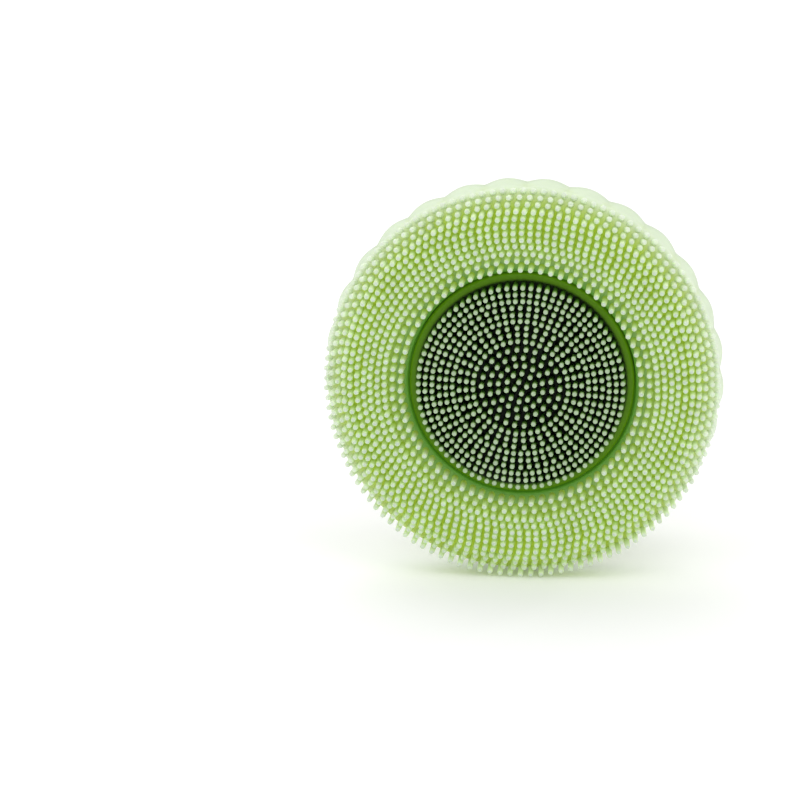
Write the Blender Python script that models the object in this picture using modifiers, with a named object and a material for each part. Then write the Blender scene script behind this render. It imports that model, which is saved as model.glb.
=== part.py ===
"""Manual facial cleansing brush: a domed silicone ring with a field of bristles, a second round bristle
pad in its middle, and a mushroom handle behind.

The brush stands on its rim with its axis level along Y. The bristles face -Y, the knob points to +Y, +Z is
up, and the origin is under the middle of the brush, on the surface that it stands on. Every piece is turned
about the brush's axis, so a profile is a list of (radius, depth) points in metres, where depth counts back
from the plane of the bristle tips.
"""

from math import cos, hypot, pi, radians, sin

import bmesh
import bpy
from mathutils import Matrix, Vector

# Driving dimensions, in metres.
DEPTH = 0.0500  # bristle tips to the top of the knob
GAP = 0.0003  # between pieces that touch on the real brush

RIM_RADIUS = 0.0403
RIM_FRONT = 0.0102
RIM_BACK = 0.0140
LOBES = 29
LOBE_DEPTH = 0.0007

RING_FLOOR = 0.0049  # depth of the face that the ring's bristles stand on
SHOULDER_START = 0.0345  # where that face begins to round off towards the rim
SHOULDER_RADIUS = 0.0038
RING_BACK = 0.0196
DOME_EDGE = 0.0149  # depth at which the domed back meets the rim
BORE_RADIUS = 0.02215
LIP_ROUND = 0.00205
SEAT_RADIUS = 0.0228
BRISTLE_TOP = 0.0004  # depth of the ring's tallest bristle tips
BRISTLE_INNER = 0.0234

RIBS = 20
RIB_INNER = 0.0258
RIB_OUTER = 0.0341
RIB_WIDTH = 0.0017
RIB_HEIGHT = 0.0010
RIB_ROOT = 0.0014  # how far a rib is sunk into the dome

PAD_RADIUS = 0.0225
PAD_FRONT = 0.00475
PAD_THICKNESS = 0.0018
PAD_BRISTLE_RADIUS = 0.0209
PLUG_RADIUS = 0.0060
PLUG_LENGTH = 0.0026

PLATE_THICKNESS = 0.0026
HUB_RADIUS = 0.0218
HUB_WALL = 0.0020
HUB_FLOOR = 0.0170
HUB_LIP = 0.0009
STEM_RADIUS = 0.0082
STEM_FLARE = 0.0004  # how much wider the stem is at its end than at its waist
STEM_WAIST = 0.0250
STEM_END = 0.0357
STEM_BORE = 0.0052
PILOT_END = 0.0275
PILOT_WEB = 0.0025

KNOB_RADIUS = 0.02185
KNOB_BASE_RADIUS = 0.0217
KNOB_UNDERSIDE = 0.0430  # depth at which the flared underside meets the edge
KNOB_JOIN = 0.0444
KNOB_WALL = 0.0018
KNOB_WEB = 0.0022  # thickness of the floor that the handle's screw holds
SKIRT_RADIUS = 0.0196
SKIRT_END = 0.0440

SCREW_SHANK = 0.0012
SCREW_HOLE = SCREW_SHANK + GAP
SCREW_HEAD = 0.0028
HEAD_HEIGHT = 0.0010
PLATE_SCREWS = 3
PLATE_SCREW_CIRCLE = 0.0140
PLATE_SCREW_LENGTH = 0.0052
KNOB_SCREW_LENGTH = 0.0100
BOSS_RADIUS = 0.0028

LOBE_STEPS = 3
RING_STEPS = LOBES * LOBE_STEPS
ENVELOPE_STEPS = LOBES * 2
ROUND_STEPS = 40
SCREW_STEPS = 12

PLATE_FRONT = PAD_FRONT + PAD_THICKNESS + GAP
PLATE_BACK = PLATE_FRONT + PLATE_THICKNESS
HUB_FRONT = PLATE_BACK + GAP
SEAT_DEPTH = HUB_FRONT
KNOB_FLOOR = STEM_END + GAP + KNOB_WEB
# The brush rests on the corners of the two lobes beside its lowest groove.
LOWEST = (RIM_RADIUS - LOBE_DEPTH * (1 - sin(pi / LOBE_STEPS))) * cos(2 * pi / RING_STEPS)
# A flat of the outer bristles' envelope is lowest, level with the lobes.
ENVELOPE_RADIUS = LOWEST / cos(pi / ENVELOPE_STEPS)


def clear_scene():
    for obj in list(bpy.data.objects):
        bpy.data.objects.remove(obj, do_unlink=True)


def new_collection(name):
    collection = bpy.data.collections.new(name)
    bpy.context.scene.collection.children.link(collection)
    return collection


def plain_material(name, colour, roughness, metallic=0.0):
    material = bpy.data.materials.new(name)
    material.use_nodes = True
    shader = material.node_tree.nodes["Principled BSDF"]
    shader.inputs["Base Color"].default_value = (*colour, 1)
    shader.inputs["Roughness"].default_value = roughness
    shader.inputs["Metallic"].default_value = metallic
    return material


def empty(name, parent=None, location=(0, 0, 0), rotation=(0, 0, 0)):
    obj = bpy.data.objects.new(name, None)
    PARTS.objects.link(obj)
    obj.parent = parent
    obj.location = location
    obj.rotation_euler = rotation
    obj.empty_display_size = 0.02
    return obj


def arc(centre, radius, start, end, segments=4):
    """Points of an arc, at angles in degrees from the outward direction towards greater depth."""
    angles = [radians(start + (end - start) * i / segments) for i in range(segments + 1)]
    return [(centre[0] + radius * cos(angle), centre[1] + radius * sin(angle)) for angle in angles]


def bezier(first, second, third, last, segments=8):
    """Points of a cubic curve between its first and last points, both included."""
    points = []
    for i in range(segments + 1):
        t = i / segments
        weights = ((1 - t) ** 3, 3 * (1 - t) ** 2 * t, 3 * (1 - t) * t**2, t**3)
        controls = (first, second, third, last)
        points.append(tuple(sum(w * c[axis] for w, c in zip(weights, controls)) for axis in (0, 1)))
    return points


def turned(name, profile, steps, closed, centre=(0, 0)):
    """A piece turned from its profile, which runs outwards along the front and back along the outside.

    A closed profile makes a ring, and an open one starts and ends on the axis.
    """
    mesh = bpy.data.meshes.new(name)
    count = len(profile)
    edges = [(i, i + 1) for i in range(count - 1)] + ([(count - 1, 0)] if closed else [])
    mesh.from_pydata([(radius, 0, -depth) for radius, depth in profile], edges, [])
    obj = bpy.data.objects.new(name, mesh)
    obj.location = (*centre, 0)
    turn = obj.modifiers.new("Turn", "SCREW")
    turn.steps = turn.render_steps = steps
    turn.use_merge_vertices = True
    turn.merge_threshold = 0.00001
    return obj


def evaluated_mesh(obj):
    """The mesh that an object's modifiers make, after which the object has none."""
    CUTTERS.objects.link(obj)
    bpy.context.view_layer.update()
    mesh = bpy.data.meshes.new_from_object(obj.evaluated_get(bpy.context.evaluated_depsgraph_get()))
    obj.modifiers.clear()
    CUTTERS.objects.unlink(obj)
    return mesh


def add_part(obj, parent, material):
    PARTS.objects.link(obj)
    obj.parent = parent
    obj.data.materials.append(material)
    return obj


def add_cutter(obj, parent):
    CUTTERS.objects.link(obj)
    obj.parent = parent
    obj.hide_render = True
    obj.display_type = "WIRE"
    return obj


def join(obj, other, operation):
    modifier = obj.modifiers.new(other.name, "BOOLEAN")
    modifier.operation = operation
    modifier.object = other


def rod(name, radius, front, back, centre=(0, 0), steps=SCREW_STEPS):
    """A round rod along the axis between two depths."""
    mesh = bpy.data.meshes.new(name)
    shape = bmesh.new()
    middle = Matrix.Translation((0, 0, -(front + back) / 2))
    size = {"radius1": radius, "radius2": radius, "depth": back - front}
    bmesh.ops.create_cone(shape, cap_ends=True, segments=steps, matrix=middle, **size)
    shape.to_mesh(mesh)
    shape.free()
    obj = bpy.data.objects.new(name, mesh)
    obj.location = (*centre, 0)
    return obj


def plate_screw_places():
    """Centres of the plate's screws, the first one at the top."""
    turns = [radians(90 + 360 * i / PLATE_SCREWS) for i in range(PLATE_SCREWS)]
    return [(PLATE_SCREW_CIRCLE * cos(turn), PLATE_SCREW_CIRCLE * sin(turn)) for turn in turns]


def ring_back_curve(segments=6):
    """The ring's domed back, from the rim in to the lip of the hole."""
    outside = (RIM_RADIUS - LOBE_DEPTH, DOME_EDGE)
    lip = (BORE_RADIUS + LIP_ROUND, RING_BACK)
    return bezier(outside, (0.0382, DOME_EDGE + 0.0017), (0.0315, RING_BACK - 0.0010), lip, segments)


def shoulder(offset, segments=3):
    """The rounded front shoulder of the ring, this far outside its surface."""
    return arc((SHOULDER_START, RING_FLOOR + SHOULDER_RADIUS), SHOULDER_RADIUS + offset, -90, 0, segments)


def scallop(mesh):
    """Presses the grooves between the lobes into the rim, with one groove at the bottom."""
    fade = RIM_RADIUS - 2 * LOBE_DEPTH
    for vertex in mesh.vertices:
        radius = hypot(vertex.co.x, vertex.co.y)
        if radius < fade:
            continue
        turn = Vector((0, -1)).angle_signed(vertex.co.xy) * LOBES / (2 * pi)
        groove = LOBE_DEPTH * (1 - abs(sin(pi * turn)))
        share = min(1, (radius - fade) / LOBE_DEPTH)
        vertex.co.xy *= 1 - share * groove / radius


def rib_bar():
    """One bar, along X and centred on the surface that it is sunk into, with rounded ends."""
    size = (RIB_OUTER - RIB_INNER, RIB_WIDTH, RIB_ROOT + RIB_HEIGHT)
    middle = Matrix.Translation((0, 0, (RIB_ROOT - RIB_HEIGHT) / -2))
    shape = bmesh.new()
    bmesh.ops.create_cube(shape, size=1, matrix=Matrix.Diagonal((*size, 1)))
    upright = [edge for edge in shape.edges if (edge.verts[0].co - edge.verts[1].co).xy.length < GAP]
    bmesh.ops.bevel(shape, geom=upright, offset=RIB_WIDTH * 0.45, segments=3, affect="EDGES")
    bmesh.ops.transform(shape, matrix=middle, verts=shape.verts)
    mesh = bpy.data.meshes.new("rib_bar")
    shape.to_mesh(mesh)
    shape.free()
    return mesh


def rib_blanks():
    """The bars that stand on the ring's back, sunk into it so that they join."""
    outline = ring_back_curve(24)
    outer = min(outline, key=lambda point: abs(point[0] - RIB_OUTER))
    inner = min(outline, key=lambda point: abs(point[0] - RIB_INNER))
    middle = Vector((outer[0] + inner[0], 0, -outer[1] - inner[1])) / 2
    lean = Vector((outer[0] - inner[0], 0, inner[1] - outer[1]))
    # The bar's own +X turns down the slope of the dome, and its +Z to the outside, at the back.
    turn = lean.to_track_quat("X", "Z").to_matrix().to_4x4() @ Matrix.Rotation(pi, 4, "X")
    place = Matrix.Translation(middle) @ turn
    bar = rib_bar()
    shape = bmesh.new()
    for i in range(RIBS):
        first = len(shape.verts)
        shape.from_mesh(bar)
        shape.verts.ensure_lookup_table()
        spin = Matrix.Rotation(2 * pi * (i + 0.5) / RIBS, 4, "Z")
        bmesh.ops.transform(shape, matrix=spin @ place, verts=shape.verts[first:])
    mesh = bpy.data.meshes.new("rib_blanks")
    shape.to_mesh(mesh)
    shape.free()
    bpy.data.meshes.remove(bar)
    return bpy.data.objects.new("rib_blanks", mesh)


def make_outer_ring(parent):
    bevel = 0.0003
    neck = SHOULDER_START + SHOULDER_RADIUS
    profile = [(SEAT_RADIUS + bevel, RING_FLOOR)]
    profile += shoulder(0)
    profile += [(neck + bevel, RIM_FRONT - bevel), (RIM_RADIUS - bevel, RIM_FRONT)]
    profile += [(RIM_RADIUS, RIM_FRONT + bevel), (RIM_RADIUS, RIM_BACK)]
    profile += ring_back_curve()
    profile += arc((BORE_RADIUS + LIP_ROUND, RING_BACK - LIP_ROUND), LIP_ROUND, 90, 180, 3)[1:]
    profile += [(BORE_RADIUS, SEAT_DEPTH), (SEAT_RADIUS, SEAT_DEPTH), (SEAT_RADIUS, RING_FLOOR + bevel)]
    blank = turned("outer_ring_blank", profile, RING_STEPS, closed=True)
    blank.parent = parent
    blank.data = evaluated_mesh(blank)
    # A corner of the turned blank goes to the bottom.
    blank.data.transform(Matrix.Rotation(-pi / 2, 4, "Z"))
    scallop(blank.data)
    join(blank, add_cutter(rib_blanks(), parent), "UNION")
    mesh = evaluated_mesh(blank)
    mesh.shade_smooth()
    mesh.set_sharp_from_angle(angle=radians(40))
    bpy.data.objects.remove(blank)
    return add_part(bpy.data.objects.new("outer_ring", mesh), parent, SILICONE_LIGHT)


def make_outer_bristles(parent):
    """The space that the ring's bristles fill, from its face round the shoulder to the rim."""
    back = RIM_FRONT - 2 * GAP
    front = (0.0350, BRISTLE_TOP + GAP)
    side = (ENVELOPE_RADIUS, 0.0058)
    profile = [(BRISTLE_INNER, BRISTLE_TOP)]
    profile += bezier(front, (0.0378, 0.0020), (0.0393, 0.0036), side, 4)
    profile += [(ENVELOPE_RADIUS, back)]
    profile += [(SHOULDER_START + SHOULDER_RADIUS + 2 * GAP, back)]
    profile += shoulder(GAP)[::-1]
    profile += [(BRISTLE_INNER, RING_FLOOR - GAP)]
    return add_part(turned("outer_bristles", profile, ENVELOPE_STEPS, closed=True), parent, BRISTLE_LIGHT)


def make_inner_pad(parent):
    back = PAD_FRONT + PAD_THICKNESS
    bevel = 0.0005
    profile = [(0, PAD_FRONT), (PAD_RADIUS - bevel, PAD_FRONT), (PAD_RADIUS, PAD_FRONT + bevel)]
    profile += [(PAD_RADIUS, back), (PLUG_RADIUS, back), (PLUG_RADIUS, back + PLUG_LENGTH)]
    profile += [(0, back + PLUG_LENGTH)]
    return add_part(turned("inner_pad", profile, ROUND_STEPS, closed=False), parent, SILICONE_DARK)


def make_inner_bristles(parent):
    """The space that the pad's bristles fill. Its flat front is the plane of their tips."""
    bevel = 0.0004
    profile = [(0, 0), (PAD_BRISTLE_RADIUS - bevel, 0), (PAD_BRISTLE_RADIUS, bevel)]
    profile += [(PAD_BRISTLE_RADIUS, PAD_FRONT - GAP), (0, PAD_FRONT - GAP)]
    return add_part(turned("inner_bristles", profile, ROUND_STEPS, closed=False), parent, BRISTLE_DARK)


def make_front_plate(parent):
    socket = PLUG_RADIUS + GAP
    profile = [(socket, PLATE_FRONT), (PAD_RADIUS, PLATE_FRONT)]
    profile += [(PAD_RADIUS, PLATE_BACK), (socket, PLATE_BACK)]
    obj = add_part(turned("front_plate", profile, ROUND_STEPS, closed=True), parent, PLASTIC_INNER)
    past = 0.001
    pocket_floor = PLATE_FRONT + HEAD_HEIGHT + 2 * GAP
    for i, centre in enumerate(plate_screw_places(), 1):
        pocket = rod(f"head_pocket_{i}", SCREW_HEAD + GAP, PLATE_FRONT - past, pocket_floor, centre)
        hole = rod(f"plate_hole_{i}", SCREW_HOLE, PLATE_FRONT - past, PLATE_BACK + past, centre)
        join(obj, add_cutter(pocket, parent), "DIFFERENCE")
        join(obj, add_cutter(hole, parent), "DIFFERENCE")
    return obj


def make_hub(parent):
    """The dished hub that the ring sits round, with the hollow stem of the handle in one piece."""
    ceiling = HUB_FLOOR - HUB_WALL
    cup_radius = HUB_RADIUS - HUB_WALL
    core = PILOT_END - PILOT_WEB
    fillet = 0.0015
    profile = [(0, core), (STEM_BORE, core), (STEM_BORE, ceiling + fillet), (STEM_BORE + fillet, ceiling)]
    profile += [(cup_radius, ceiling), (cup_radius, HUB_FRONT), (HUB_RADIUS, HUB_FRONT)]
    profile += [(HUB_RADIUS, HUB_FLOOR + HUB_LIP / 2), (HUB_RADIUS - 0.0006, HUB_FLOOR + HUB_LIP)]
    profile += [(HUB_RADIUS - 0.0016, HUB_FLOOR + HUB_LIP / 3)]
    waist = (STEM_RADIUS, STEM_WAIST)
    profile += bezier((0.0165, HUB_FLOOR), (0.0110, HUB_FLOOR), (STEM_RADIUS, 0.0185), waist, 6)
    profile += [(STEM_RADIUS + STEM_FLARE, STEM_END), (SCREW_HOLE, STEM_END)]
    profile += [(SCREW_HOLE, PILOT_END), (0, PILOT_END)]
    obj = add_part(turned("hub", profile, ROUND_STEPS, closed=False), parent, PLASTIC_DARK)
    overlap = 0.0005
    for i, centre in enumerate(plate_screw_places(), 1):
        boss = rod(f"screw_boss_{i}", BOSS_RADIUS, HUB_FRONT + GAP, ceiling + overlap, centre)
        join(obj, add_cutter(boss, parent), "UNION")
        pilot = rod(f"boss_pilot_{i}", SCREW_HOLE, HUB_FRONT - overlap, ceiling - overlap, centre)
        join(obj, add_cutter(pilot, parent), "DIFFERENCE")
    return obj


def make_knob_base(parent):
    """The flared underside of the knob, hollow above, with the hole for the handle's screw."""
    start = STEM_END + GAP
    socket = SKIRT_RADIUS + GAP
    profile = [(SCREW_HOLE, start)]
    flare_end = (KNOB_BASE_RADIUS - 0.0004, KNOB_UNDERSIDE - 0.0006)
    profile += bezier((STEM_RADIUS + STEM_FLARE, start), (0.0089, 0.0392), (0.0145, 0.0414), flare_end, 6)
    profile += [(KNOB_BASE_RADIUS, KNOB_UNDERSIDE), (KNOB_BASE_RADIUS, KNOB_JOIN), (socket, KNOB_JOIN)]
    profile += [(socket, 0.0436), (0.0140, 0.0430), (0.0092, 0.0416)]
    profile += [(0.0070, KNOB_FLOOR), (SCREW_HOLE, KNOB_FLOOR)]
    return add_part(turned("knob_base", profile, ROUND_STEPS, closed=True), parent, PLASTIC_LIGHT)


def make_knob_cap(parent):
    """The glossy dome that closes the knob, with a skirt that snaps into the base."""
    edge = KNOB_JOIN + GAP
    bevel = 0.0003
    ceiling = DEPTH - KNOB_WALL
    skirt_inside = SKIRT_RADIUS - 0.0017
    profile = bezier((0, ceiling), (0.0090, ceiling), (0.0150, 0.0471), (skirt_inside, 0.0459), 4)
    profile += [(skirt_inside, SKIRT_END), (SKIRT_RADIUS, SKIRT_END), (SKIRT_RADIUS, edge)]
    profile += [(KNOB_RADIUS - bevel, edge), (KNOB_RADIUS, edge + bevel), (KNOB_RADIUS, edge + 0.0008)]
    profile += bezier((KNOB_RADIUS - 0.00025, 0.0460), (0.0205, 0.0474), (0.0110, DEPTH), (0, DEPTH), 6)
    return add_part(turned("knob_cap", profile, ROUND_STEPS, closed=False), parent, PLASTIC_LIGHT_CAP)


def make_screw(name, head_face, length, forwards, parent, centre=(0, 0)):
    """A pan-head screw whose head bears at this depth. One that points forwards has its head at the back."""
    chamfer = 0.0004
    point = 0.0008
    outline = [(0, -HEAD_HEIGHT), (SCREW_HEAD - chamfer, -HEAD_HEIGHT), (SCREW_HEAD, chamfer - HEAD_HEIGHT)]
    outline += [(SCREW_HEAD, 0), (SCREW_SHANK, 0), (SCREW_SHANK, length - point), (0, length)]
    if forwards:
        outline = [(radius, -offset) for radius, offset in reversed(outline)]
    profile = [(radius, head_face + offset) for radius, offset in outline]
    return add_part(turned(name, profile, SCREW_STEPS, closed=False, centre=centre), parent, STEEL)


clear_scene()
PARTS = new_collection("facial_cleansing_brush")
CUTTERS = new_collection("cutters")

SILICONE_LIGHT = plain_material("silicone_light", (0.46, 0.58, 0.27), 0.55)
BRISTLE_LIGHT = plain_material("bristle_light", (0.62, 0.78, 0.42), 0.45)
SILICONE_DARK = plain_material("silicone_dark", (0.06, 0.16, 0.012), 0.45)
BRISTLE_DARK = plain_material("bristle_dark", (0.40, 0.56, 0.30), 0.45)
PLASTIC_DARK = plain_material("plastic_dark", (0.10, 0.20, 0.055), 0.25)
PLASTIC_INNER = plain_material("plastic_inner", (0.12, 0.20, 0.07), 0.5)
PLASTIC_LIGHT = plain_material("plastic_light", (0.36, 0.50, 0.18), 0.22)
PLASTIC_LIGHT_CAP = plain_material("plastic_light_cap", (0.36, 0.50, 0.18), 0.12)
STEEL = plain_material("steel", (0.6, 0.6, 0.6), 0.3, 1.0)

HANDLE = empty("handle_frame", location=(0, -DEPTH / 2, LOWEST), rotation=(pi / 2, 0, 0))
RING_SLIDE = empty("ring_slide", HANDLE)
PAD_SLIDE = empty("pad_slide", HANDLE)

make_outer_ring(RING_SLIDE)
make_outer_bristles(RING_SLIDE)
make_inner_pad(PAD_SLIDE)
make_inner_bristles(PAD_SLIDE)
make_front_plate(HANDLE)
make_hub(HANDLE)
make_knob_base(HANDLE)
make_knob_cap(HANDLE)
for number, place in enumerate(plate_screw_places(), 1):
    head_seat = PLATE_FRONT + HEAD_HEIGHT + GAP
    make_screw(f"plate_screw_{number}", head_seat, PLATE_SCREW_LENGTH, False, HANDLE, place)
make_screw("knob_screw", KNOB_FLOOR + GAP, KNOB_SCREW_LENGTH, True, HANDLE)
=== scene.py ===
"""Looks of the manual facial cleansing brush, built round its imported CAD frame.

The brush's axis is level along Y, and the bristles face -Y. A turned piece comes from a profile of (radius,
depth) points in millimetres, where depth counts back from the plane of the bristle tips. A turn is an angle
from +X towards +Z, seen from the bristles. to_frame() makes the frame's metres of these.
"""

from math import cos, pi, radians, sin

import bmesh
import bpy
import numpy as np
from mathutils import Matrix, Vector


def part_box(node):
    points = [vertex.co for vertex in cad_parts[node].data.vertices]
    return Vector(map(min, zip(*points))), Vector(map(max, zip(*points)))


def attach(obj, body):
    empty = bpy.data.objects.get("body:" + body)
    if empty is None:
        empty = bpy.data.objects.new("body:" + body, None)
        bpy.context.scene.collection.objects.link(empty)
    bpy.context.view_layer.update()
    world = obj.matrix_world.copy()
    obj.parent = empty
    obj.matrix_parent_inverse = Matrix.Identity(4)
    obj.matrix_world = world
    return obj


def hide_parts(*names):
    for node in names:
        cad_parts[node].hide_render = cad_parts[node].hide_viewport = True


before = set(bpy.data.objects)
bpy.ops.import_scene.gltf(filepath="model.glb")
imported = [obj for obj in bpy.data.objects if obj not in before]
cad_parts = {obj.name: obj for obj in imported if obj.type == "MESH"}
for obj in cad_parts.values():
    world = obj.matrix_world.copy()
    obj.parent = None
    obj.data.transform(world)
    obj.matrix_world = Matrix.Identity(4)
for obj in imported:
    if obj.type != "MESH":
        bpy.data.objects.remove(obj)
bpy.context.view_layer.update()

MM = 0.001
TIPS_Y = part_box("inner_bristles")[0].y
AXIS_Z = sum(corner.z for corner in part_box("knob_cap")) / 2


def front_of(node):
    return (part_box(node)[0].y - TIPS_Y) / MM


def back_of(node):
    return (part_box(node)[1].y - TIPS_Y) / MM


def radius_of(node):
    low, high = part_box(node)
    return (high.x - low.x) / 2 / MM


# Driving sizes, in millimetres. Those that a box gives come from the frame.
RIM_RADIUS = 40.1
RIM_DEPTH = 12.6  # where the ring is widest
LOBES = 29
LOBE_DEPTH = 0.95
LOBE_TURN = 5.7  # degrees from the bottom of the rim to the nearest groove
RING_FLOOR = 4.9
SHOULDER_START = 35.6  # where the flat floor of the bristles ends
SHOULDER_RADIUS = 3.8
RING_BACK = 19.6
DOME_EDGE = 14.9
BORE_RADIUS = 22.15
SEAT_RADIUS = 22.8  # the hole's wider part in front, round the hub
LIP_ROUND = 2.05
RIBS = 20
RIB_INNER = 25.8
RIB_OUTER = 34.1
RIB_WIDTH = 1.7
RIB_HEIGHT = 1.0
PAD_RADIUS = radius_of("inner_pad")
PAD_FLOOR = front_of("inner_pad")
HUB_RADIUS = radius_of("hub")
HUB_FRONT = front_of("hub")
HUB_FLOOR = 17.0
WAIST_RADIUS = 8.2
STEM_RADIUS = 8.6
STEM_END = back_of("hub")
KNOB_RADIUS = radius_of("knob_cap")
KNOB_TOP = back_of("knob_cap")
KNOB_JOIN = back_of("knob_base")

CHANCE = np.random.default_rng(7)


# ---------------------------------------------------------------- shapes


def to_frame(radius, turn, depth):
    """Points in the frame, in metres, of radii, turns and depths."""
    radius, turn, depth = np.broadcast_arrays(radius, turn, depth)
    across = radius * np.cos(turn) * MM
    up = radius * np.sin(turn) * MM
    return np.stack([across, TIPS_Y + depth * MM, AXIS_Z + up], axis=-1)


def arc(centre, radius, start, end, segments=8):
    """Points of an arc, at angles in degrees from the outward direction towards greater depth."""
    angles = np.radians(np.linspace(start, end, segments + 1))
    return [(centre[0] + radius * cos(a), centre[1] + radius * sin(a)) for a in angles]


def bezier(first, second, third, last, segments=24):
    """Points of a cubic curve between its first and last points, both included."""
    t = np.linspace(0, 1, segments + 1)[:, None]
    curve = (1 - t) ** 3 * np.array(first) + 3 * (1 - t) ** 2 * t * np.array(second)
    curve = curve + 3 * (1 - t) * t**2 * np.array(third) + t**3 * np.array(last)
    return [tuple(point) for point in curve]


def refined(profile, longest, closed):
    """The profile with its long stretches split, so that colours can change along them."""
    ends = profile[1:] + (profile[:1] if closed else [])
    points = []
    for start, end in zip(profile, ends):
        length = np.hypot(end[0] - start[0], end[1] - start[1])
        pieces = max(1, int(np.ceil(length / longest)))
        for share in np.arange(pieces) / pieces:
            points.append((start[0] + (end[0] - start[0]) * share, start[1] + (end[1] - start[1]) * share))
    return points if closed else points + [profile[-1]]


def smooth_step(low, high, value):
    share = np.clip((value - low) / (high - low), 0, 1)
    return share * share * (3 - 2 * share)


def mesh_object(name, points, faces):
    """A smooth-shaded object of these points and faces, with its faces turned outwards."""
    mesh = bpy.data.meshes.new(name)
    mesh.from_pydata([tuple(point) for point in points], [], faces)
    shape = bmesh.new()
    shape.from_mesh(mesh)
    if shape.calc_volume(signed=True) < 0:
        bmesh.ops.reverse_faces(shape, faces=shape.faces)
    shape.to_mesh(mesh)
    shape.free()
    mesh.shade_smooth()
    obj = bpy.data.objects.new(name, mesh)
    bpy.context.scene.collection.objects.link(obj)
    return obj


def turned(name, profile, steps, longest=1.0, shape=None):
    """A piece turned from its profile: a ring, or a solid if the profile starts and ends on the axis.

    shape(radius, depth, turn) may move the points before the mesh is made.
    """
    solid = profile[0][0] == 0
    radius, depth = np.array(refined(profile, longest, closed=not solid)).T[:, :, None]
    turn = np.arange(steps)[None, :] * 2 * pi / steps
    poles = []
    if solid:
        poles = [to_frame(0, 0, depth[0, 0]), to_frame(0, 0, depth[-1, 0])]
        radius, depth = radius[1:-1], depth[1:-1]
    radius, depth = radius + 0 * turn, depth + 0 * turn
    if shape:
        radius, depth = shape(radius, depth, turn)
    rows = len(radius)
    points = list(to_frame(radius, turn, depth).reshape(-1, 3)) + poles
    faces = []
    for row in range(rows - 1 if solid else rows):
        here, there = row * steps, (row + 1) % rows * steps
        faces += [(here + i, here + (i + 1) % steps, there + (i + 1) % steps, there + i) for i in range(steps)]
    if solid:
        first, last, end = rows * steps, rows * steps + 1, (rows - 1) * steps
        faces += [(first, (i + 1) % steps, i) for i in range(steps)]
        faces += [(last, end + i, end + (i + 1) % steps) for i in range(steps)]
    return mesh_object(name, points, faces)


def sharpen(obj, degrees=40):
    obj.data.set_sharp_from_angle(angle=radians(degrees))
    return obj


def places(obj):
    """Radius, turn and depth of an object's vertices."""
    points = np.array([vertex.co for vertex in obj.data.vertices])
    across, up = points[:, 0] / MM, (points[:, 2] - AXIS_Z) / MM
    return np.hypot(across, up), np.arctan2(up, across), (points[:, 1] - TIPS_Y) / MM


def paint(obj, name, values):
    """Stores a number for each vertex, which the materials read."""
    attribute = obj.data.attributes.new(name, "FLOAT", "POINT")
    attribute.data.foreach_set("value", np.asarray(values, np.float32))


# ---------------------------------------------------------------- materials


def colour(code):
    """Linear colour of a web colour code."""
    values = [int(code[i : i + 2], 16) / 255 for i in (0, 2, 4)]
    return (*((v / 12.92 if v <= 0.04045 else ((v + 0.055) / 1.055) ** 2.4) for v in values), 1)


class Material:
    """A Principled material, and short names for the nodes that it is made of."""

    def __init__(self, name, **settings):
        self.data = bpy.data.materials.new(name)
        self.data.use_nodes = True
        self.nodes = self.data.node_tree.nodes
        self.links = self.data.node_tree.links
        self.shader = self.nodes["Principled BSDF"]
        for socket, value in settings.items():
            self.shader.inputs[socket.replace("_", " ")].default_value = value

    def node(self, kind, **inputs):
        made = self.nodes.new(f"ShaderNode{kind}")
        for name, value in inputs.items():
            self.feed(made.inputs[name.replace("_", " ")], value)
        return made

    def feed(self, socket, value):
        if isinstance(value, bpy.types.NodeSocket):
            self.links.new(value, socket)
        else:
            socket.default_value = value

    def attribute(self, name):
        made = self.nodes.new("ShaderNodeAttribute")
        made.attribute_name = name
        return made.outputs["Fac"]

    def ramp(self, value, *stops):
        """Colour of a number: each stop is (position, colour code)."""
        made = self.node("ValToRGB", Fac=value)
        elements = made.color_ramp.elements
        while len(elements) < len(stops):
            elements.new(1)
        for element, (position, code) in zip(elements, stops):
            element.position = position
            element.color = colour(code)
        return made.outputs["Color"]

    def mix(self, share, first, second, blend="MIX"):
        made = self.nodes.new("ShaderNodeMix")
        made.data_type = "RGBA"
        made.blend_type = blend
        self.feed(made.inputs["Factor"], share)
        self.feed(made.inputs[6], colour(first) if isinstance(first, str) else first)
        self.feed(made.inputs[7], colour(second) if isinstance(second, str) else second)
        return made.outputs[2]

    def scaled(self, value, low, high):
        """A number from 0 to 1, brought to between low and high."""
        made = self.node("MapRange", Value=value)
        made.inputs["To Min"].default_value = low
        made.inputs["To Max"].default_value = high
        return made.outputs["Result"]

    def noise(self, size, detail=3.0):
        """Noise whose features are about this many millimetres across."""
        place = self.nodes.new("ShaderNodeTexCoord").outputs["Object"]
        return self.node("TexNoise", Vector=place, Scale=1 / (size * MM), Detail=detail).outputs["Fac"]

    def painted_glow(self, base, share, low, high):
        """Painted glow: emission in the surface's own colour, standing in for light that silicone carries through
        itself, by a share from 0 to 1.
        """
        self.feed(self.shader.inputs["Emission Color"], base)
        self.feed(self.shader.inputs["Emission Strength"], self.scaled(share, low, high))

    def bump(self, height, distance):
        """Relief of this many millimetres, from a number that says how high each place is."""
        made = self.node("Bump", Height=height, Distance=distance * MM, Strength=1.0)
        self.feed(self.shader.inputs["Normal"], made.outputs["Normal"])

    def grey(self, value):
        return self.node("CombineColor", Red=value, Green=value, Blue=value).outputs["Color"]

    def patches(self, low, high, size):
        """Lighter and darker greys in patches of about this size."""
        return self.grey(self.scaled(self.noise(size), low, high))

    def tinted(self, base, low, high, size):
        return self.mix(1.0, base, self.patches(low, high, size), "MULTIPLY")


def zone(radius):
    """Where a radius lies between the ring's inner edge and its rim, from 0 to 1."""
    return (radius - SEAT_RADIUS) / (RIM_RADIUS - SEAT_RADIUS)


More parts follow.
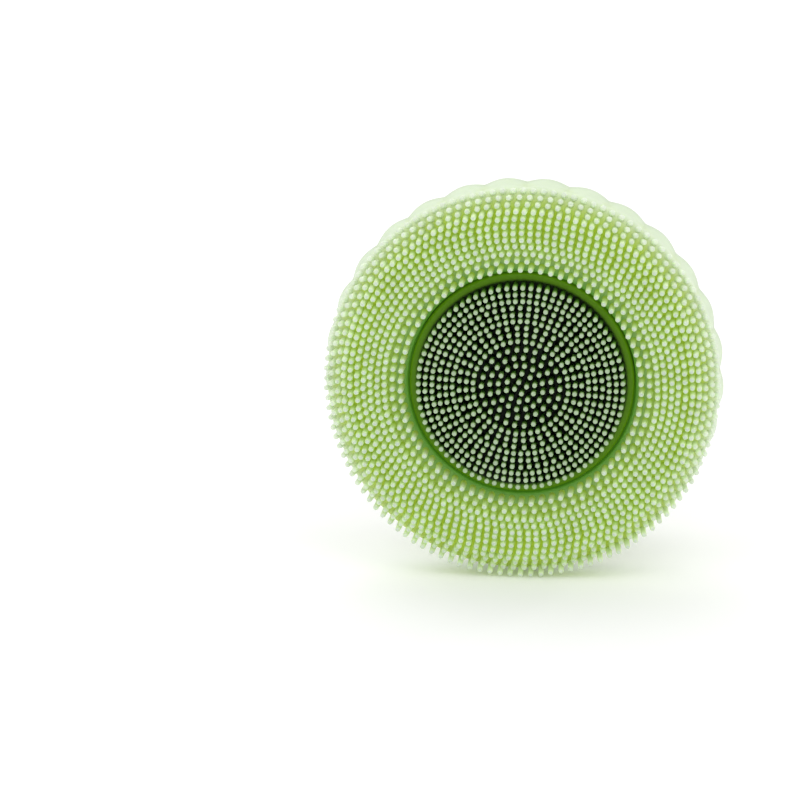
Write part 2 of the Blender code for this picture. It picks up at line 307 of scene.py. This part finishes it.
def glow(reach, weight):
    """Settings of light that passes a little way through green silicone, by its reach in millimetres."""
    return {
        "Subsurface_Weight": weight,
        "Subsurface_Radius": (0.9, 1.0, 0.7),
        "Subsurface_Scale": reach * MM,
    }


def ring_silicone():
    made = Material("ring_silicone", Roughness=0.5, Specular_IOR_Level=0.35, **glow(1.4, 0.5))
    # Painted light: the back gets paler towards its rim and on the ribs. Painted shade: lime round the foot of
    # each rib.
    back = made.mix(made.attribute("pale"), made.tinted("c3d49c", 0.96, 1.03, 14), "e3ebd6")
    back = made.mix(made.attribute("painted_rib_shade"), back, "8cb43a")
    # The front's colours, from its dark inner edge over the lime floor to the pale rim, whose paler colour is
    # painted light through the thin silicone.
    stops = [(22.8, "4f8a20"), (23.7, "6d9a46"), (25.2, "8cab66"), (26.8, "9db65c"), (28.4, "a5bd36")]
    stops += [(35.3, "adc43c"), (37.2, "b9cd78"), (38.5, "c4d5a4"), (39.4, "cbd9be")]
    front = made.ramp(made.attribute("zone"), *((zone(radius), code) for radius, code in stops))
    base = made.mix(made.attribute("front"), back, made.mix(1.0, front, made.patches(0.96, 1.03, 14), "MULTIPLY"))
    # Painted shade: dark green down the hole's wall.
    base = made.mix(made.attribute("painted_hole_shade"), base, "3f7a10")
    made.feed(made.shader.inputs["Base Color"], base)
    # Painted glow in the silicone's own colour, by the share painted on the mesh.
    made.painted_glow(base, made.attribute("painted_glow"), 0.0, 0.38)
    made.feed(made.shader.inputs["Roughness"], made.scaled(made.noise(3), 0.44, 0.58))
    made.bump(made.noise(0.35, detail=4), 0.012)
    return made.data


def ring_bristle_silicone():
    made = Material("ring_bristle_silicone", Roughness=0.45, Specular_IOR_Level=0.4, **glow(0.8, 0.5))
    along = made.attribute("along")
    # Lime at the root, paler to the tip; the greyer last stop is a painted reflection on each tip.
    stops = [(0, "a3bd40"), (0.25, "aec757"), (0.5, "bdd286"), (0.8, "c8dca2"), (0.97, "cbdfac"), (1, "c5d2c8")]
    base = made.mix(made.attribute("pale"), made.ramp(along, *stops), "dde8d4")
    base = made.mix(1.0, base, made.grey(made.scaled(made.attribute("tone"), 0.94, 1.04)), "MULTIPLY")
    made.feed(made.shader.inputs["Base Color"], base)
    # Painted glow along the bristles, by the share painted on the mesh.
    made.painted_glow(base, made.attribute("painted_glow"), 0.03, 0.25)
    made.bump(made.noise(0.25), 0.006)
    return made.data


def pad_silicone():
    made = Material("pad_silicone", Roughness=0.5, Specular_IOR_Level=0.2, **glow(0.6, 0.1))
    base = made.tinted("5b8a09", 0.94, 1.05, 6)
    # Painted shade: the floor between the bristles is near black.
    base = made.mix(made.attribute("floor"), base, "031302")
    made.feed(made.shader.inputs["Base Color"], base)
    # Painted glow on the bare edge round the bristles.
    made.painted_glow(base, made.attribute("painted_glow"), 0.0, 0.16)
    made.feed(made.shader.inputs["Roughness"], made.scaled(made.noise(2), 0.4, 0.55))
    made.bump(made.noise(0.3, detail=4), 0.008)
    return made.data


def pad_bristle_silicone():
    made = Material("pad_bristle_silicone", Roughness=0.45, Specular_IOR_Level=0.4, **glow(0.5, 0.3))
    # Painted shade makes the roots near black among the bristles; the greyer last stop is a painted reflection on
    # each tip.
    stops = [(0, "061803"), (0.35, "1c420a"), (0.75, "5f9034"), (0.92, "b0ce90"), (1, "adc0a4")]
    base = made.ramp(made.attribute("along"), *stops)
    tone = made.grey(made.scaled(made.attribute("tone"), 0.92, 1.04))
    made.feed(made.shader.inputs["Base Color"], made.mix(1.0, base, tone, "MULTIPLY"))
    made.bump(made.noise(0.25), 0.006)
    return made.data


def hub_plastic():
    made = Material("hub_plastic", Roughness=0.3, Specular_IOR_Level=0.5, **glow(0.8, 0.1))
    base = made.tinted("759658", 0.95, 1.04, 9)
    made.feed(made.shader.inputs["Base Color"], base)
    made.feed(made.shader.inputs["Roughness"], made.scaled(made.noise(4), 0.24, 0.36))
    made.bump(made.noise(0.8, detail=3), 0.004)
    return made.data


def knob_plastic():
    made = Material("knob_plastic", Roughness=0.16, Specular_IOR_Level=0.5, Coat_Weight=0.35, Coat_Roughness=0.05)
    # Darker in the middle, paler to the edge. The dark middle is partly the stem showing through the plastic and
    # partly painted reflection; the pale edge is a painted highlight.
    stops = [(0, "3b5520"), (0.2, "446026"), (0.42, "5c7a30"), (0.62, "6d8a38"), (0.85, "8ea451"), (1, "bac88e")]
    base = made.ramp(made.attribute("outwards"), *stops)
    made.feed(made.shader.inputs["Base Color"], made.tinted(base, 0.97, 1.02, 12))
    made.feed(made.shader.inputs["Roughness"], made.scaled(made.noise(3), 0.12, 0.22))
    made.bump(made.noise(5, detail=1), 0.006)
    return made.data


def plate_plastic():
    made = Material("plate_plastic", Roughness=0.5)
    base = made.tinted("4f7030", 0.94, 1.05, 4)
    made.feed(made.shader.inputs["Base Color"], base)
    made.bump(made.noise(0.3, detail=4), 0.01)
    return made.data


def screw_steel():
    made = Material("screw_steel", Metallic=1.0, Roughness=0.3)
    made.feed(made.shader.inputs["Base Color"], made.tinted("c8c8c6", 0.85, 1.05, 0.6))
    made.feed(made.shader.inputs["Roughness"], made.scaled(made.noise(0.3), 0.22, 0.4))
    return made.data


def floor_surface():
    made = Material("floor_surface", Roughness=0.7, Specular_IOR_Level=0.2, Emission_Strength=0.04)
    made.shader.inputs["Emission Color"].default_value = (1, 1, 1, 1)
    base = made.tinted("fdfdfd", 0.99, 1.0, 400)
    made.feed(made.shader.inputs["Base Color"], base)
    return made.data


def finish(obj, material, body, slot, *nodes):
    """Gives a piece its material and body, and hides the CAD nodes that it stands for. The slot is not used."""
    obj.data.materials.append(material)
    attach(obj, body)
    if nodes:
        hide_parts(*nodes)
    return obj


# ---------------------------------------------------------------- the silicone ring


def dome_curve(segments=40):
    """The ring's domed back, from the rim in to the lip of the hole."""
    outside = (RIM_RADIUS - LOBE_DEPTH, DOME_EDGE)
    lip = (BORE_RADIUS + LIP_ROUND, RING_BACK)
    return bezier(outside, (38.2, DOME_EDGE + 1.7), (31.5, RING_BACK - 1.0), lip, segments)


def ring_profile():
    edge = 0.35
    shoulder_end = (SHOULDER_START + SHOULDER_RADIUS, RING_FLOOR + SHOULDER_RADIUS)
    profile = arc((SEAT_RADIUS + edge, RING_FLOOR + edge), edge, 180, 270, 4)
    profile += arc((SHOULDER_START, RING_FLOOR + SHOULDER_RADIUS), SHOULDER_RADIUS, -90, 0, 14)
    widest = (RIM_RADIUS, RIM_DEPTH)
    profile += bezier(shoulder_end, (shoulder_end[0], 10.2), (RIM_RADIUS, 11.0), widest, 8)[1:-1]
    profile += bezier(widest, (RIM_RADIUS, 13.8), (RIM_RADIUS - 0.3, 14.4), dome_curve()[0], 8)[:-1]
    profile += dome_curve()
    profile += arc((BORE_RADIUS + LIP_ROUND, RING_BACK - LIP_ROUND), LIP_ROUND, 90, 180, 12)[1:]
    profile += [(BORE_RADIUS, HUB_FRONT), (SEAT_RADIUS, HUB_FRONT)]
    return profile


def scalloped(radius, depth, turn):
    """Presses in the grooves between the rim's lobes, which fade out over the shoulder and across the back."""
    past_groove = turn + pi / 2 - radians(LOBE_TURN)
    roundness, back_share = 0.004, 0.85
    wave = np.sqrt(np.sin(past_groove * LOBES / 2) ** 2 + roundness)
    groove = LOBE_DEPTH * np.clip(1 - wave, 0, 1)
    behind = smooth_step(11.0, 13.5, depth)
    in_front = smooth_step(6.5, 11.5, depth) * (1 - behind)
    share = in_front + back_share * smooth_step(35.0, 40.0, radius) * behind
    slope_in = np.gradient(radius[:, :1], axis=0)
    slope_back = np.gradient(depth[:, :1], axis=0)
    length = np.hypot(slope_in, slope_back)
    pressed = groove * share
    return radius - pressed * slope_back / length, depth + pressed * slope_in / length


def rib_distance(radius, turn):
    """Distance from the edge of the nearest rib, in millimetres and below 0 on a rib."""
    pitch = 2 * pi / RIBS
    aside = (turn % pitch) - pitch / 2
    along, across = radius * np.cos(aside), radius * np.sin(aside)
    nearest = np.clip(along, RIB_INNER + RIB_WIDTH / 2, RIB_OUTER - RIB_WIDTH / 2)
    return np.hypot(along - nearest, across) - RIB_WIDTH / 2


def make_ring_body(material):
    ring = sharpen(turned("ring_body", ring_profile(), LOBES * 14, 0.8, scalloped))
    radius, turn, depth = places(ring)
    back = smooth_step(13.0, 15.0, depth) * (radius > BORE_RADIUS + 0.1)
    paint(ring, "front", 1 - back)
    # Painted shade: at the bottom, which faces the floor, the floor's lime runs further out over the shoulder.
    low = smooth_step(0.4, 0.98, -np.sin(turn)) * (1 - smooth_step(6.5, 9.0, depth))
    lime_radius = 35.3
    past_lime = np.clip(radius - lime_radius, 0, 9)
    paint(ring, "zone", np.clip(zone(radius - 0.8 * low * past_lime), 0, 1))
    # Painted light: the back gets paler towards the rim.
    paint(ring, "pale", 0.62 * smooth_step(34.5, 39.8, radius))
    # Painted shade: lime round the foot of each rib, fading with distance from it.
    rib_shade_width = 1.05
    from_rib = np.clip(rib_distance(radius, turn), 0, 9)
    paint(ring, "painted_rib_shade", 0.65 * np.exp(-((from_rib / rib_shade_width) ** 2)))
    # Painted shade: the hole's wall gets darker towards the hub.
    hole = 1 - smooth_step(BORE_RADIUS + 0.4, BORE_RADIUS + 2.6, radius)
    paint(ring, "painted_hole_shade", 0.9 * hole * smooth_step(9.0, 12.0, depth))
    # Painted glow: the front floor and the seat wall give off light in their own colour, less over the shoulder.
    floor = (1 - smooth_step(11.0, 13.0, depth)) * (1 - 0.6 * smooth_step(35.5, 38.0, radius))
    paint(ring, "painted_glow", np.where(radius < SEAT_RADIUS + 0.1, 1.0, floor))
    return finish(ring, material, "ring", "silicone_light", "outer_ring")


def rib_outline(offset, bend=12):
    """Points round a rib seen from behind, this far outside its edge, as (along, across)."""
    half = max(RIB_WIDTH / 2 + offset, 0)
    inner, outer = RIB_INNER + RIB_WIDTH / 2, RIB_OUTER - RIB_WIDTH / 2
    angles = np.linspace(-pi / 2, pi / 2, bend + 1)
    far = [(outer + half * cos(a), half * sin(a)) for a in angles]
    straight = np.linspace(outer, inner, 10)[1:-1]
    near = [(inner - half * cos(a), -half * sin(a)) for a in angles]
    return np.array(far + [(s, half) for s in straight] + near + [(s, -half) for s in straight[::-1]])


def make_ring_ribs(material):
    """The grip ribs: rounded bars whose feet run out into the dome that they stand on."""
    dome = np.array(dome_curve(200))[::-1]
    slope = np.gradient(dome[:, 1]) / np.gradient(dome[:, 0])
    # Each ring of points is (distance outside the rib's edge, share of its height).
    rings = [(0.30, -0.12), (0.22, 0.0), (0.08, 0.06), (0.0, 0.2), (-0.04, 0.45), (-0.10, 0.68)]
    rings += [(-0.24, 0.86), (-0.44, 0.96), (-0.65, 1.0)]
    points, faces = [], []
    for rib in range(RIBS):
        middle = 2 * pi * (rib + 0.5) / RIBS
        first = len(points)
        for offset, height in rings:
            along, across = rib_outline(offset).T
            radius = np.hypot(along, across)
            turn = middle + np.arctan2(across, along)
            lean = np.interp(radius, dome[:, 0], slope)
            rise = height * RIB_HEIGHT / np.hypot(lean, 1)
            depth = np.interp(radius, dome[:, 0], dome[:, 1])
            points += list(to_frame(radius - lean * rise, turn, depth + rise))
        count = len(along)
        for ring in range(len(rings) - 1):
            here, there = first + ring * count, first + (ring + 1) * count
            faces += [(here + i, here + (i + 1) % count, there + (i + 1) % count, there + i) for i in range(count)]
        top = first + (len(rings) - 1) * count
        faces += [tuple(top + i for i in range(count)), tuple(first + i for i in reversed(range(count)))]
    ribs = mesh_object("ring_ribs", points, faces)
    # Painted light: the raised ribs are paler than the dome.
    paint(ribs, "pale", np.full(len(points), 0.8))
    return finish(ribs, material, "ring", "silicone_light")


# ---------------------------------------------------------------- bristles


def bristle_field(name, roots, tips, radius, sides, pale):
    """One mesh of round-ended bristles, from their roots in a silicone floor to their tips."""
    # Each station is (share of the length, further along in millimetres, width against the radius).
    stations = [(0, -0.25, 1.22), (0, 0.05, 1.2), (0, 0.4, 1.08), (0.5, 0, 1.02)]
    stations += [(1, -0.36, 0.98), (1, -0.14, 0.87), (1, -0.03, 0.58)]
    reach = tips - roots
    length = np.linalg.norm(reach, axis=1, keepdims=True)
    ahead = reach / length
    side = np.cross(ahead, (0.0, 0.0, 1.0))
    side /= np.linalg.norm(side, axis=1, keepdims=True)
    other = np.cross(ahead, side)
    count, rings = len(roots), len(stations)
    angles = 2 * pi * np.arange(sides) / sides
    spokes = side[:, None] * np.cos(angles)[:, None] + other[:, None] * np.sin(angles)[:, None]
    levels, along = [], []
    for share, further, width in stations:
        reached = length * share + further * MM
        levels.append(roots[:, None] + (ahead * reached)[:, None] + spokes * radius * MM * width)
        along.append(np.repeat(reached / length, sides, axis=1))
    body = np.stack(levels, axis=1).reshape(count, rings * sides, 3)
    points = np.concatenate([body, tips[:, None]], axis=1).reshape(-1, 3)
    along = np.concatenate([np.concatenate(along, axis=1), np.ones((count, 1))], axis=1).ravel()
    each = rings * sides + 1
    pattern = []
    for ring in range(rings - 1):
        here, there = ring * sides, (ring + 1) * sides
        pattern += [(here + i, here + (i + 1) % sides, there + (i + 1) % sides, there + i) for i in range(sides)]
    last = (rings - 1) * sides
    pattern += [(last + i, last + (i + 1) % sides, each - 1) for i in range(sides)]
    pattern += [tuple(reversed(range(sides)))]
    faces = [tuple(n * each + corner for corner in face) for n in range(count) for face in pattern]
    field = mesh_object(name, points, faces)
    paint(field, "along", np.clip(along, 0, 1))
    paint(field, "tone", np.repeat(CHANCE.random(count), each))
    pale = np.repeat(pale, each)
    paint(field, "pale", pale)
    # Painted glow along each bristle, fading at its tip and where the bristle is pale.
    paint(field, "painted_glow", (1 - smooth_step(0.85, 0.99, along)) * (1 - 0.7 * pale))
    return field


def wobble(points, amount):
    """Small chance offsets, in millimetres, as moulded bristles have."""
    return points + CHANCE.normal(0, amount * MM, points.shape) * (1, 0.3, 1)


def make_ring_bristles(material):
    # Each row is (radius of its tips, count, depth of its tips, first turn in degrees).
    rows = [(24.06, 74, 0.2, -2.0), (25.75, 80, 0.4, 2.0), (27.34, 110, 0.1, 0.0), (28.73, 114, 0.1, 1.0)]
    rows += [(30.12, 116, 0.1, 0.0), (31.41, 118, 0.2, 1.5), (32.80, 120, 0.4, 0.0), (34.19, 126, 0.6, 1.0)]
    rows += [(35.49, 130, 1.0, 0.5), (36.80, 114, 2.4, 0.0), (38.20, 116, 3.3, 1.0), (39.40, 120, 4.9, 0.0)]
    # The last rows are rooted on the shoulder, at these angles round it from its front.
    leans = [14.0, 32.0, 56.0]
    first_leaning = len(rows) - len(leans)
    # The outer rows' paler colour is painted light, as at the rim.
    last_lime = 7  # the rows after this one get paler towards the rim
    roots, tips, pale = [], [], []
    for number, (radius, count, depth, start) in enumerate(rows):
        turn = radians(start) + 2 * pi * np.arange(count) / count
        root_radius, root_depth = radius, RING_FLOOR
        if number >= first_leaning:
            lean = radians(leans[number - first_leaning])
            root_radius = SHOULDER_START + SHOULDER_RADIUS * sin(lean)
            root_depth = RING_FLOOR + SHOULDER_RADIUS * (1 - cos(lean))
        roots.append(to_frame(root_radius, turn, root_depth))
        # The lowest ones of the last row are bent forwards, where the brush stands on them.
        low = smooth_step(0.3, 0.9, -np.sin(turn))
        bent = low * (number == len(rows) - 1)
        tips.append(to_frame(radius + 0.15 * bent, turn, depth - 1.7 * bent))
        # Painted shade: the lowest bristles, which face the floor, are less pale.
        pale.append(max(0.0, number - last_lime) * 0.24 * (1 - 0.6 * low))
    roots, tips = np.concatenate(roots), np.concatenate(tips)
    bristle_radius, sides = 0.56, 9
    field = bristle_field("ring_bristles", roots, wobble(tips, 0.05), bristle_radius, sides, np.concatenate(pale))
    return finish(field, material, "ring", "bristle_light", "outer_bristles")


def make_pad_bristles(material):
    # The count and the first turn in degrees of each row. The inner rows are further apart.
    counts = [4, 10, 16, 20, 26] + 3 * [40] + 3 * [60] + 3 * [80]
    starts = [14.0, 12.5, -9.75, -5.6, -1.3] + 3 * [3.5] + 3 * [0.45] + 3 * [-1.0]
    wide_rows = 5
    first_radius, wide_pitch, pitch = 1.2, 1.66, 1.365
    roots, tips = [], []
    for row, (count, start) in enumerate(zip(counts, starts)):
        radius = first_radius + wide_pitch * min(row, wide_rows) + pitch * max(0, row - wide_rows)
        turn = radians(start) + 2 * pi * np.arange(count) / count
        roots.append(to_frame(radius, turn, PAD_FLOOR))
        tips.append(to_frame(radius, turn, 0.0))
    roots, tips = np.concatenate(roots), np.concatenate(tips)
    tips[:, [0, 2]] = wobble(tips, 0.04)[:, [0, 2]]
    bristle_radius, sides = 0.5, 12
    field = bristle_field("pad_bristles", roots, tips, bristle_radius, sides, np.zeros(len(roots)))
    return finish(field, material, "pad", "bristle_dark", "inner_bristles")


def make_pad_body(material):
    edge = 0.5
    plug_radius, plug_round = 6.0, 0.4
    back = PAD_FLOOR + 1.8
    end = back_of("inner_pad")
    profile = [(0, PAD_FLOOR)] + arc((PAD_RADIUS - edge, PAD_FLOOR + edge), edge, -90, 0, 6)
    profile += [(PAD_RADIUS, back), (plug_radius, back)]
    profile += arc((plug_radius - plug_round, end - plug_round), plug_round, 0, 90, 4) + [(0, end)]
    pad = sharpen(turned("pad_body", profile, 160, 0.6))
    radius, _, depth = places(pad)
    # Painted shade makes the floor between the bristles near black, and a painted glow makes the bare edge round
    # them brighter.
    bare = smooth_step(20.7, 21.5, radius)
    paint(pad, "floor", (1 - bare) * (depth < PAD_FLOOR + 0.1))
    paint(pad, "painted_glow", bare)
    return finish(pad, material, "pad", "silicone_dark", "inner_pad")


# ---------------------------------------------------------------- the handle


def hub_floor_profile():
    """The dished floor of the hub behind the ring, in to the waist of the stem."""
    return bezier((16.5, HUB_FLOOR), (11.0, HUB_FLOOR), (WAIST_RADIUS, 18.5), (WAIST_RADIUS, 25.0), 24)


def make_hub(material):
    wall, lip, edge = 2.0, 0.9, 0.4
    inside = HUB_FRONT + 4.0
    rim = HUB_FLOOR + lip
    profile = [(0, inside), (HUB_RADIUS - wall, inside), (HUB_RADIUS - wall, HUB_FRONT), (HUB_RADIUS, HUB_FRONT)]
    profile += arc((HUB_RADIUS - edge, rim - edge), edge, 0, 90, 5)
    profile += bezier((HUB_RADIUS - 0.7, rim), (20.6, 17.7), (20.4, 17.15), (19.2, 17.05), 8)
    profile += hub_floor_profile()
    profile += [(STEM_RADIUS, STEM_END), (0, STEM_END)]
    hub = sharpen(turned("hub_shell", profile, 160, 0.9))
    return finish(hub, material, "handle", "plastic_dark", "hub")


def make_knob_underside(material):
    gap = 0.02
    start = STEM_END + gap
    edge, edge_round = 21.7, 0.5
    profile = [(0, start), (STEM_RADIUS, start)]
    profile += bezier((STEM_RADIUS, start), (8.9, 39.2), (14.5, 41.4), (edge - 0.4, 42.4), 24)[1:]
    profile += arc((edge - edge_round, 42.9), edge_round, -60, 0, 5)
    profile += [(edge, KNOB_JOIN), (0, KNOB_JOIN)]
    knob = sharpen(turned("knob_underside", profile, 160, 1.0))
    radius, _, _ = places(knob)
    # Painted shade near the stem and painted highlight at the edge, from the knob's ramp.
    paint(knob, "outwards", 0.5 + 0.5 * smooth_step(8, 21, radius))
    return finish(knob, material, "handle", "plastic_light", "knob_base")


def make_knob_dome(material):
    seam = 0.12
    front = KNOB_JOIN + seam
    front_round, back_round = 0.3, 0.45
    profile = [(0, front)] + arc((KNOB_RADIUS - front_round, front + front_round), front_round, -90, 0, 5)
    profile += arc((KNOB_RADIUS - back_round, 45.7), back_round, 0, 55, 6)
    profile += bezier((21.25, 46.15), (20.3, 47.3), (11.0, KNOB_TOP), (0, KNOB_TOP), 40)
    knob = sharpen(turned("knob_dome", profile, 192, 1.0), 50)
    radius, _, _ = places(knob)
    # Darker middle and paler edge: painted reflection and painted highlight, with the stem showing through.
    paint(knob, "outwards", radius / KNOB_RADIUS)
    return finish(knob, material, "handle", "plastic_light", "knob_cap")


def make_plate_screws(material):
    """Pan-head screws with cross recesses, in place of the CAD's plain ones."""
    head_height, shank, thread, pitch, threads = 1.0, 1.2, 0.22, 0.6, 6
    # The recess's four arms, and how far they narrow at its bottom.
    arm, half_width, recess, taper = 1.5, 0.28, 0.75, 0.55
    corners = [(arm, -half_width), (arm, half_width), (half_width, half_width)]
    quarter = [Vector((across, up)) for across, up in corners]
    outline = [Matrix.Rotation(radians(90 * side), 2) @ corner for side in range(4) for corner in quarter]
    sides = len(outline)
    sliver = 0.002 * MM
    for number in (1, 2, 3):
        node = f"plate_screw_{number}"
        low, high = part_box(node)
        middle = Vector(((low.x + high.x) / 2, 0, (low.z + high.z) / 2 - AXIS_Z))
        head, front, end = radius_of(node), front_of(node), back_of(node)
        seat = front + head_height
        profile = bezier((0, front), (head * 0.7, front), (head, front + 0.1), (head, front + 0.65), 10)
        profile += [(head, seat), (shank, seat)]
        for turn in range(threads):
            start = seat + 0.3 + turn * pitch
            profile += [(shank, start), (shank - thread, start + pitch / 2)]
        profile += [(0, end)]
        screw = turned(f"cross_screw_{number}", profile, 48, 0.5)
        points = [
            (point.x * share * MM, TIPS_Y + depth * MM, AXIS_Z + point.y * share * MM)
            for share, depth in ((1.0, front - 0.3), (taper, front + recess))
            for point in outline
        ]
        faces = [(i, (i + 1) % sides, sides + (i + 1) % sides, sides + i) for i in range(sides)]
        faces += [tuple(range(sides)), tuple(reversed(range(sides, 2 * sides)))]
        cutter = mesh_object("cutter", points, faces)
        cut = screw.modifiers.new("recess", "BOOLEAN")
        cut.object, cut.solver = cutter, "EXACT"
        result = screw.evaluated_get(bpy.context.evaluated_depsgraph_get())
        plain, screw.data = screw.data, bpy.data.meshes.new_from_object(result)
        screw.modifiers.clear()
        bpy.data.meshes.remove(plain)
        bpy.data.objects.remove(cutter)
        # The cut leaves slivers and turned faces.
        shape = bmesh.new()
        shape.from_mesh(screw.data)
        bmesh.ops.remove_doubles(shape, verts=shape.verts, dist=sliver)
        bmesh.ops.dissolve_degenerate(shape, edges=shape.edges, dist=sliver)
        bmesh.ops.recalc_face_normals(shape, faces=shape.faces)
        shape.to_mesh(screw.data)
        shape.free()
        screw.data.transform(Matrix.Translation(middle))
        finish(sharpen(screw, 30), material, "handle", "steel", node)


def make_parting_lines(material):
    """The thin raised lines that the mould's two halves leave on the hub, across its floor and up the stem."""
    outline = [(20.6, 17.15)] + hub_floor_profile() + [(STEM_RADIUS - 0.05, STEM_END - 0.3)]
    route = np.array(refined(outline, 0.6, closed=False))
    points, faces = [], []
    width, height, depth_in = 0.16, 0.07, -0.08
    section = [(-width, depth_in), (-width / 2, height), (width / 2, height), (width, depth_in)]
    for start in (radians(27), radians(207)):
        first = len(points)
        tangent = np.gradient(route, axis=0)
        tangent /= np.linalg.norm(tangent, axis=1, keepdims=True)
        # Outwards from the hub's surface, as (radius, depth).
        normal = np.stack([-tangent[:, 1], tangent[:, 0]], axis=1)
        normal *= np.sign(normal[:1, 1:2])
        for place, out in zip(route, normal):
            for across, rise in section:
                radius, depth = place + out * rise
                points.append(to_frame(radius, start + across / radius, depth))
        for n in range(len(route) - 1):
            here, there = first + 4 * n, first + 4 * (n + 1)
            faces += [(here + i, here + (i + 1) % 4, there + (i + 1) % 4, there + i) for i in range(4)]
        end = first + 4 * (len(route) - 1)
        faces += [(first + 3, first + 2, first + 1, first), (end, end + 1, end + 2, end + 3)]
    lines = mesh_object("hub_parting_lines", points, faces)
    paint(lines, "outwards", np.ones(len(points)))
    return finish(lines, material, "handle", "plastic_dark")


# ---------------------------------------------------------------- stage


def make_floor():
    half = 6.0
    corners = [(-half, -half, 0), (half, -half, 0), (half, half, 0), (-half, half, 0)]
    mesh = bpy.data.meshes.new("floor")
    mesh.from_pydata(corners, [], [(0, 1, 2, 3)])
    floor = bpy.data.objects.new("floor", mesh)
    bpy.context.scene.collection.objects.link(floor)
    mesh.materials.append(floor_surface())


def direction(azimuth, elevation):
    a, e = radians(azimuth), radians(elevation)
    return Vector((sin(a) * cos(e), -cos(a) * cos(e), sin(e)))


def make_camera():
    """A long lens that sees the brush to the right of the picture's middle."""
    azimuth, elevation, distance = 3.6, 14.36, 1.105
    turned_left, turned_down = 1.28, 0.121
    camera = bpy.data.objects.new("camera", bpy.data.cameras.new("camera"))
    camera.data.lens = 250
    camera.data.clip_end = 50
    bpy.context.scene.collection.objects.link(camera)
    bpy.context.scene.camera = camera
    camera.location = Vector((0, TIPS_Y, AXIS_Z)) + direction(azimuth, elevation) * distance
    aim = direction(azimuth + turned_left, elevation + turned_down)
    camera.rotation_euler = aim.to_track_quat("Z", "Y").to_euler()


def make_softbox(name, azimuth, elevation, distance, size, power):
    light = bpy.data.lights.new(name, "AREA")
    light.shape = "SQUARE"
    light.size = size
    light.energy = power
    obj = bpy.data.objects.new(name, light)
    bpy.context.scene.collection.objects.link(obj)
    towards = direction(azimuth, elevation)
    obj.location = Vector((0, 0, AXIS_Z)) + towards * distance
    obj.rotation_euler = towards.to_track_quat("Z", "Y").to_euler()


def make_sun(name, azimuth, elevation, strength, spread):
    sun = bpy.data.lights.new(name, "SUN")
    sun.energy = strength
    sun.angle = radians(spread)
    obj = bpy.data.objects.new(name, sun)
    bpy.context.scene.collection.objects.link(obj)
    obj.rotation_euler = direction(azimuth, elevation).to_track_quat("Z", "Y").to_euler()


def make_surroundings():
    world = bpy.data.worlds.new("studio")
    world.use_nodes = True
    background = world.node_tree.nodes["Background"]
    background.inputs["Color"].default_value = (1, 1, 1, 1)
    background.inputs["Strength"].default_value = 0.82
    bpy.context.scene.world = world
    bpy.context.scene.view_settings.view_transform = "Standard"
    make_sun("key_light", 38, 55, 0.35, 35)
    make_sun("fill_light", -42, 50, 0.22, 35)
    make_sun("back_light", -150, 50, 0.42, 60)
    make_softbox("back_softbox", -150, 62, 1.2, 0.6, 0.8)
    make_softbox("side_softbox", 134, 16, 1.2, 0.14, 0.9)


RING_SILICONE = ring_silicone()
make_camera()
make_ring_body(RING_SILICONE)
make_ring_ribs(RING_SILICONE)
make_ring_bristles(ring_bristle_silicone())
make_pad_body(pad_silicone())
make_pad_bristles(pad_bristle_silicone())
HUB_PLASTIC = hub_plastic()
KNOB_PLASTIC = knob_plastic()
make_hub(HUB_PLASTIC)
make_parting_lines(KNOB_PLASTIC)
make_knob_underside(KNOB_PLASTIC)
make_knob_dome(KNOB_PLASTIC)
SCREW_STEEL = screw_steel()
make_plate_screws(SCREW_STEEL)
# The CAD nodes whose shape stays.
for node, material in {"front_plate": plate_plastic(), "knob_screw": SCREW_STEEL}.items():
    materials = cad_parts[node].data.materials
    materials.clear()
    materials.append(material)
make_floor()
make_surroundings()
